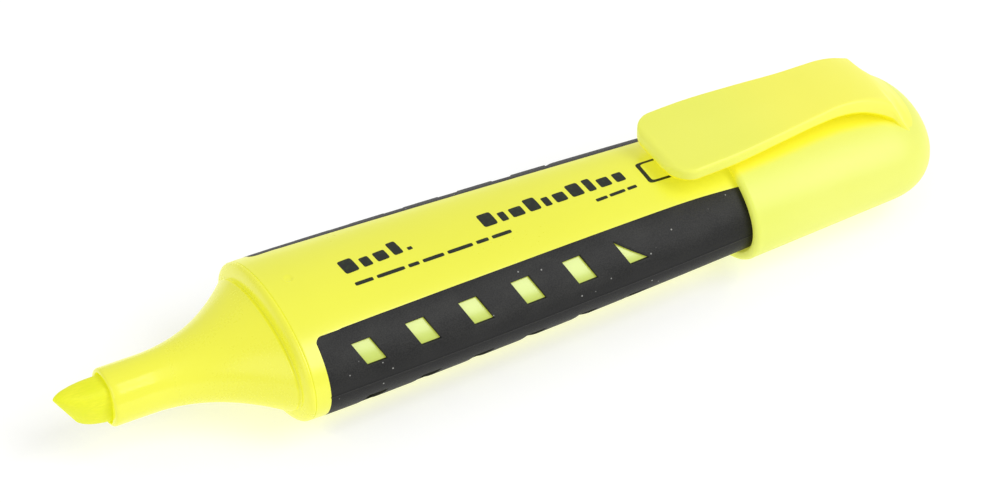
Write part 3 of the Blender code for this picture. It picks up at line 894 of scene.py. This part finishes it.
CLIP_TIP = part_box("cap_clip")[0].x - nozzle_face
CLIP_ROWS = np.array([
    # station, half-width, underside of the edge, top
    (70.2, 6.10, 7.30, 8.95), (73.2, 6.10, 7.50, 9.22), (78.0, 6.05, 7.72, 9.42), (84.0, 5.52, 8.06, 9.62),
    (90.0, 4.83, 8.21, 9.82), (93.0, 4.62, 8.15, 9.96), (95.9, 4.77, 7.72, 9.74), (98.7, 5.18, 6.55, 8.98),
    (100.8, 5.80, 5.25, 7.80), (101.8, 5.95, 4.60, 6.90), (103.4, 6.10, 3.10, 5.60),
    (104.4, 6.10, 1.60, 4.70),
]) * MM
TIP_CORNER = (2.9 * MM, 4.0 * MM)     # length and width of the rounded corners
TIP_ROUND = (0.35 * MM, 0.90 * MM)    # below and on top
BELOW_ROUND = 0.28 * MM               # of the blade's lower edges
HINGE = 94.0 * MM
CLIP_REAR = 104.2 * MM
SUNK = 0.02 * MM                      # how far the melded skin lies under the cap's


def smooth_rows(station, rows):
    """Cubic through the rows: Hermite spans whose slopes are the mean of the slopes on either side."""
    xs, ys = rows[:, 0], rows[:, 1:]
    steps = np.diff(ys, axis=0) / np.diff(xs)[:, None]
    slopes = np.concatenate([steps[:1], (steps[:-1] + steps[1:]) / 2, steps[-1:]])
    i = np.clip(np.searchsorted(xs, station) - 1, 0, len(xs) - 2)
    span = (xs[i + 1] - xs[i])[:, None]
    t = ((station - xs[i]) / span[:, 0])[:, None]
    return (ys[i] * (1 + 2 * t) * (1 - t) ** 2 + ys[i + 1] * t * t * (3 - 2 * t)
            + slopes[i] * span * t * (1 - t) ** 2 + slopes[i + 1] * span * t * t * (t - 1))


def clip_section():
    """Unit rounded rectangle, from the right side round by the top, left and bottom: for each point the
    share of the straight part across and up, and the place on its corner's circle."""
    arc = np.linspace(0, math.pi / 2, 9)
    side = np.linspace(-1, 1, 10)[1:-1]
    flat = np.linspace(1, -1, 62)[1:-1]
    one_side, one_flat, ones = np.ones_like(side), np.ones_like(flat), np.ones_like(arc)
    share_y = np.concatenate([one_side, ones, flat, -ones, -one_side, -ones, -flat, ones])
    share_z = np.concatenate([side, ones, one_flat, ones, -side, -ones, -one_flat, -ones])
    circle_y = np.concatenate([one_side, np.cos(arc), 0 * one_flat, -np.sin(arc), -one_side, -np.cos(arc),
                               0 * one_flat, np.sin(arc)])
    circle_z = np.concatenate([0 * one_side, np.sin(arc), one_flat, np.cos(arc), 0 * one_side, -np.sin(arc),
                               -one_flat, -np.cos(arc)])
    return share_y, share_z, circle_y, circle_z


def blade_rows():
    """Columns of station, half-width, underside and top along the blade. At the tip an ellipse takes off
    the corners of the plan, and a circle rounds the side view below and on top."""
    length, breadth = TIP_CORNER
    tip = CLIP_TIP + length * quarter(24)[1]
    station = np.concatenate([tip[:-1], np.linspace(tip[-1], HINGE, 60)[:-1],
                              np.linspace(HINGE, CLIP_REAR, 90)])
    width, low, high = smooth_rows(station, CLIP_ROWS).T
    behind = station - CLIP_TIP
    width = width - breadth * (1 - np.sqrt(1 - np.clip(1 - behind / length, 0, 1) ** 2))
    tuck_low, tuck_high = (radius - np.sqrt(radius ** 2 - np.clip(radius - behind, 0, radius) ** 2)
                           for radius in TIP_ROUND)
    return [row[:, None] for row in (station, width, low + tuck_low, high - tuck_high)]


def cap_rise(station, across):
    """Height of the cap's outside over a station and a distance across."""
    half_width, half_height = cap_half(np.minimum(station, CAP_END - 0.01 * MM))
    return half_height * np.sqrt(np.clip(1 - (across / half_width) ** 2, 0, 1))


def clip_rings():
    """Rounded rectangles along the blade, slightly crowned on top. Behind the hinge the middle of the
    underside reaches down into the cap as a web. Over the cap's end the rings pass, by a smooth share,
    into a low blister on the cap's skin: its swell falls off to both sides and to the rear."""
    station, width, low, high = blade_rows()
    share_y, share_z, circle_y, circle_z = clip_section()
    round_top = MM * (0.36 + 0.60 * smooth(94 * MM, 101 * MM, station))
    edge = np.minimum(np.where(share_z > 0, round_top, BELOW_ROUND), 0.45 * (high - low))
    across = share_y * (width - edge) + circle_y * edge
    straight = low + BELOW_ROUND + (high - round_top - low - BELOW_ROUND) * (share_z + 1) / 2
    straight = np.where(np.abs(share_z) == 1, np.where(share_z > 0, high - edge, low + edge), straight)
    crown = MM * (0.14 + 0.3 * smooth(96 * MM, 101 * MM, station)) * (across / width) ** 2
    rise = straight + circle_z * edge - crown * (share_z + 1) / 2
    station = np.broadcast_to(station, across.shape)
    web = MM * (3.0 + 2.6 * smooth(96 * MM, 101.6 * MM, station))
    rooted = smooth(94.6 * MM, 95.1 * MM, station) * smooth(web + 0.4 * MM, web, np.abs(across))
    rise = rise + (cap_rise(station, across) - 0.45 * MM - rise) * rooted * (share_z == -1)
    reach = 6.6 * MM * (1 - 0.30 * smooth(102.2 * MM, 104.2 * MM, station))
    aside = reach * share_y
    skin_rise = cap_rise(station, aside) - SUNK
    swell = np.maximum(high - 0.10 * MM - cap_rise(station, 0), 0)
    swell = swell * (1 - smooth(102.0 * MM, 104.0 * MM, station))
    raised = skin_rise + swell * (1 - smooth(1.4 * MM, reach, np.abs(aside)))
    blister = np.where(share_z == 1, raised, skin_rise - 0.2 * MM * (1 - share_z))
    joined = smooth(99.8 * MM, 101.9 * MM, station)
    return place(station, across + (aside - across) * joined, rise + (blister - rise) * joined)


def shaded_by_clip(points):
    """Near 1 under the clip and 0 from half a millimetre beside it, for points of the cap's outside."""
    station = points[..., 0] - nozzle_face
    width = np.interp(station, CLIP_ROWS[:, 0], CLIP_ROWS[:, 1])
    beside = 0.8 * smooth(0.6 * MM, -0.5 * MM, np.abs(points[..., 1]) - width)
    return beside * (points[..., 2] > axis_height) * smooth(102.6 * MM, 100.6 * MM, station)


clip_points = clip_rings()
clip = skin("clip_blade", clip_points, sharp=50)
# Painted shade: marks the clip's underside, where it is still free of the cap, and the cap's skin just under
# the clip.
underside = clip_section()[1] == -1
still_free = 1 - smooth(99.6 * MM, 101.6 * MM, clip_points[..., 0] - nozzle_face)
mark_points(clip, "painted_clip_shade", underside * still_free)
mark_points(cap, "painted_clip_shade", shaded_by_clip(cap_points))
clip.data.materials.append(cap_plastic("clip_yellow", (0.640, 0.610, 0.085), (0.665, 0.630, 0.105)))
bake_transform(clip)
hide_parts("cap_clip")
